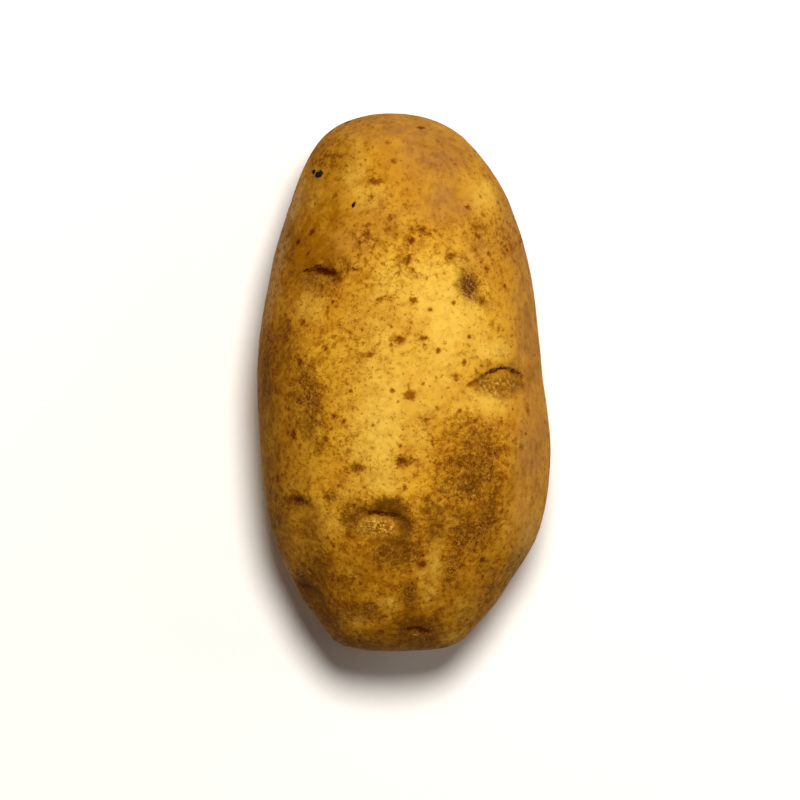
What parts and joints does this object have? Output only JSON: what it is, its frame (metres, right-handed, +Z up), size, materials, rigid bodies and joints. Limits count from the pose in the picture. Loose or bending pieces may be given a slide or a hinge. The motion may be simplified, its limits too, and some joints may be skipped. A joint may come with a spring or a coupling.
{
  "type": "potato",
  "caption": "Long yellow-skinned potato with sunken eyes under curved brows, lying on its flatter side.",
  "frame": {"origin": "under the middle of the potato, on the surface that it lies on", "axes": "+Y from the rose end to the stem end, +Z up, +X to the right seen from above with the stem end away"},
  "size_m": [0.0654, 0.12, 0.053],
  "materials": {
    "potato_skin": "thin yellow-brown skin with a faint waxy sheen, fine corky flecks and russet patches"
  },
  "bodies": {
    "root": {"potato": "potato_skin"}
  },
  "joints": []
}
